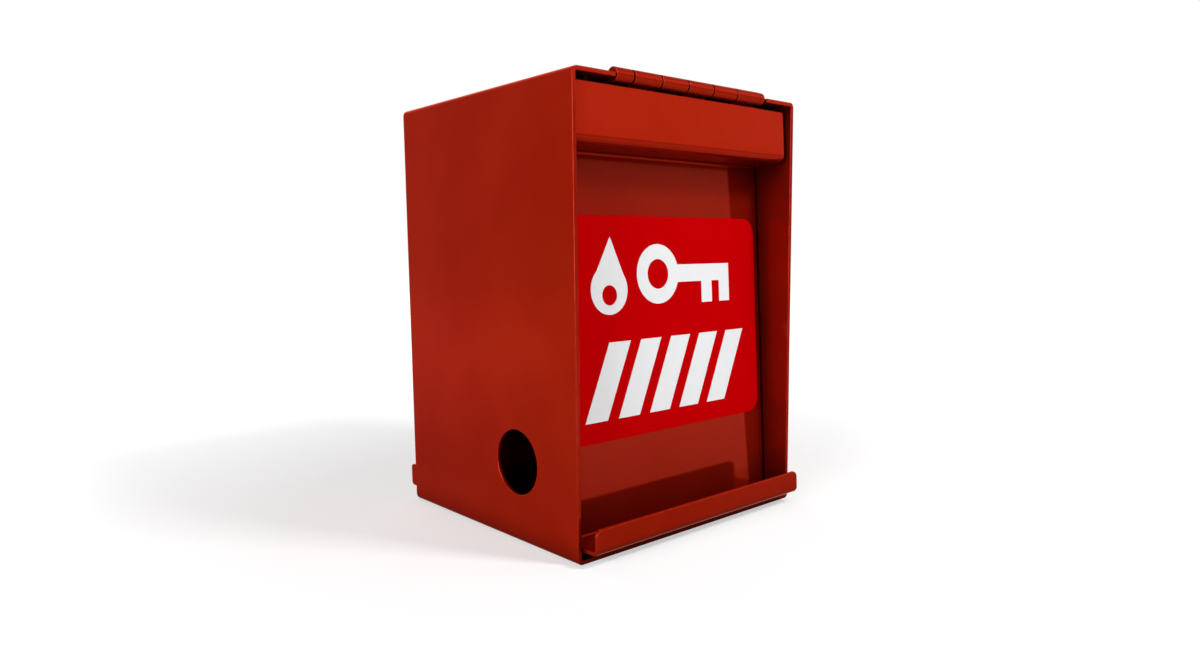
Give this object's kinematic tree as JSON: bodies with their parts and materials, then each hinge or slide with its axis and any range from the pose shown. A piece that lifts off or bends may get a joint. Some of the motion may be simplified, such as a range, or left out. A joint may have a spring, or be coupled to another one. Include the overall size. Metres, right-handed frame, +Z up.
{
  "type": "lock box",
  "caption": "Wall-mounted steel lock box with a top-hinged recessed door, a conduit entry and, inside, a sprung padlock lever that works a snap switch.",
  "frame": {"origin": "centre of the underside of the housing", "axes": "+X to the right seen from the front, +Y to the rear (the wall side), +Z up"},
  "size_m": [0.1096, 0.1099, 0.1545],
  "materials": {
    "red_paint": "glossy red powder coat",
    "label_red": "glossy red vinyl",
    "label_white": "white print",
    "rubber": "matte",
    "zinc_steel": "bright zinc plate",
    "spring_steel": "drawn wire",
    "switch_black": "moulded",
    "switch_cover": "moulded",
    "plunger_ivory": "moulded",
    "terminal_brass": "stamped"
  },
  "bodies": {
    "housing": {"housing_shell": "red_paint", "hinge_fixed_leaf": "red_paint", "hinge_pin": "red_paint", "door_stops": "red_paint", "door_bumpers": "rubber", "lock_bracket": "zinc_steel", "bracket_rivets": "zinc_steel", "padlock_staple": "zinc_steel", "pivot_pin": "zinc_steel", "pin_clip": "spring_steel", "pivot_spacer": "zinc_steel", "stop_pin": "zinc_steel", "lever_spring": "spring_steel", "switch_bracket": "zinc_steel", "switch_bracket_rivets": "zinc_steel", "switch_case": "switch_black", "switch_cover": "switch_cover", "switch_terminals": "terminal_brass", "switch_screws": "zinc_steel", "switch_nuts": "zinc_steel"},
    "door": {"door": "red_paint", "hinge_moving_leaf": "red_paint", "door_label": "label_red", "label_symbols": "label_white"},
    "lock_lever": {"lock_lever": "zinc_steel"},
    "switch_plunger": {"switch_plunger": "plunger_ivory"}
  },
  "joints": [
    {"name": "door_hinge", "type": "hinge", "parent": "housing", "child": "door", "pos_m": [0, -0.0483, 0.1522], "axis": [-1, 0, 0], "range_deg": [-2.8, 212]},
    {"name": "lever_pivot", "type": "hinge", "parent": "housing", "child": "lock_lever", "pos_m": [0, 0.026, 0.116], "axis": [1, 0, 0], "range_deg": [0, 10], "stiffness_Nm_per_rad": 0.06, "springref_deg": -20.05},
    {"name": "plunger_slide", "type": "slide", "parent": "housing", "child": "switch_plunger", "axis": [0, 1, 0], "range_m": [0, 0.0026]}
  ],
  "couplings": [
    {"joint": "plunger_slide", "follows": "lever_pivot", "m_per_rad": 0.0148}
  ]
}
